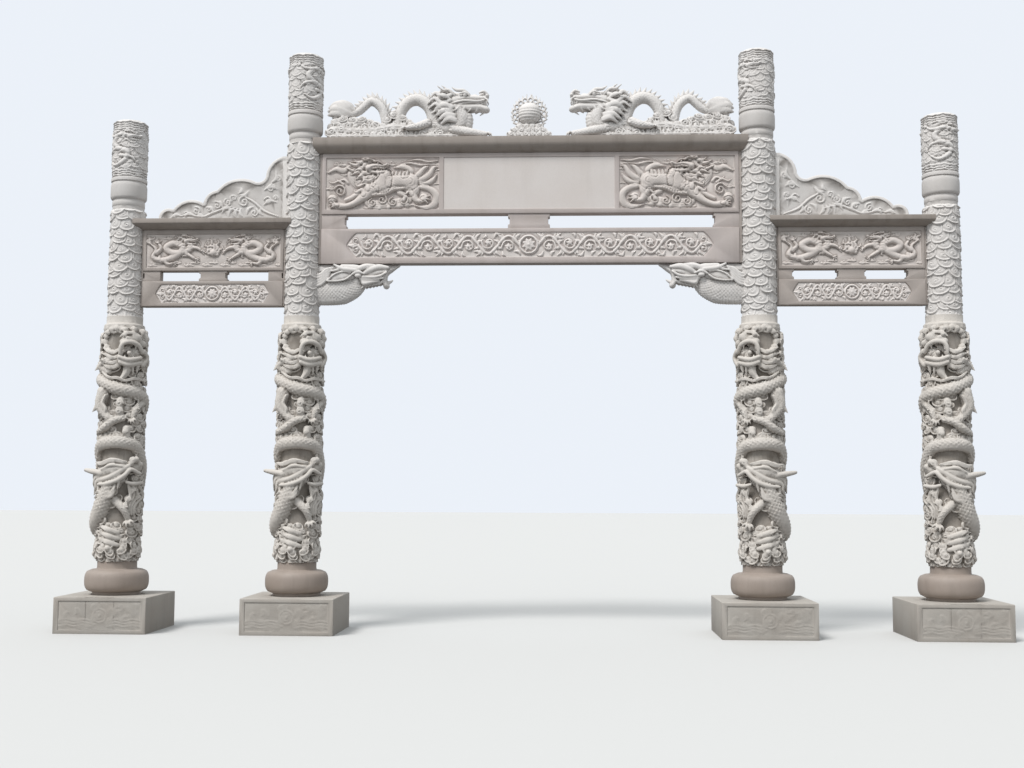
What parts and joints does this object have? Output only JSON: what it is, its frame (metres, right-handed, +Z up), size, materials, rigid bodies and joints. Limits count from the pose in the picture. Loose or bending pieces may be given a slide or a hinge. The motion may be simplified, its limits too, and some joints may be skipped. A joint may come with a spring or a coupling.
{
  "type": "paifang",
  "caption": "Carved granite ceremonial gateway: round columns wound with dragons, carved beams, stepped cloud-edged gables, and a pair of dragons facing a flaming pearl on the cornice.",
  "frame": {"origin": "on the ground, at the middle of the central passage, under the beams' centre line", "axes": "+X along the gateway towards the viewer's right, +Y from the front to the back, +Z up"},
  "size_m": [11.918, 1.185, 7.617],
  "materials": {
    "carved_granite": "hand-carved pale granite, matte",
    "plain_granite": "sawn and rubbed pinkish grey granite",
    "drum_granite": "smooth turned granite, weathered darker",
    "plinth_granite": "weathered grey granite"
  },
  "bodies": {
    "root": {"left_outer_plinth": "plinth_granite", "left_outer_drum": "drum_granite", "left_outer_dragon_shaft": "carved_granite", "left_outer_cloud_shaft": "carved_granite", "left_outer_cap": "carved_granite", "left_inner_plinth": "plinth_granite", "left_inner_drum": "drum_granite", "left_inner_dragon_shaft": "carved_granite", "left_inner_cloud_shaft": "carved_granite", "left_inner_cap": "carved_granite", "right_inner_plinth": "plinth_granite", "right_inner_drum": "drum_granite", "right_inner_dragon_shaft": "carved_granite", "right_inner_cloud_shaft": "carved_granite", "right_inner_cap": "carved_granite", "right_outer_plinth": "plinth_granite", "right_outer_drum": "drum_granite", "right_outer_dragon_shaft": "carved_granite", "right_outer_cloud_shaft": "carved_granite", "right_outer_cap": "carved_granite", "central_cornice": "plain_granite", "central_plaque_beam": "plain_granite", "central_spacers": "plain_granite", "central_lower_beam": "plain_granite", "central_jambs": "plain_granite", "left_side_cornice": "plain_granite", "left_side_panel_beam": "plain_granite", "left_side_spacers": "plain_granite", "left_side_lower_beam": "plain_granite", "left_side_jambs": "plain_granite", "left_side_gable": "carved_granite", "left_dragon_bracket": "carved_granite", "left_ridge_dragon": "carved_granite", "right_side_cornice": "plain_granite", "right_side_panel_beam": "plain_granite", "right_side_spacers": "plain_granite", "right_side_lower_beam": "plain_granite", "right_side_jambs": "plain_granite", "right_side_gable": "carved_granite", "right_dragon_bracket": "carved_granite", "right_ridge_dragon": "carved_granite", "flaming_pearl": "carved_granite"}
  },
  "joints": []
}
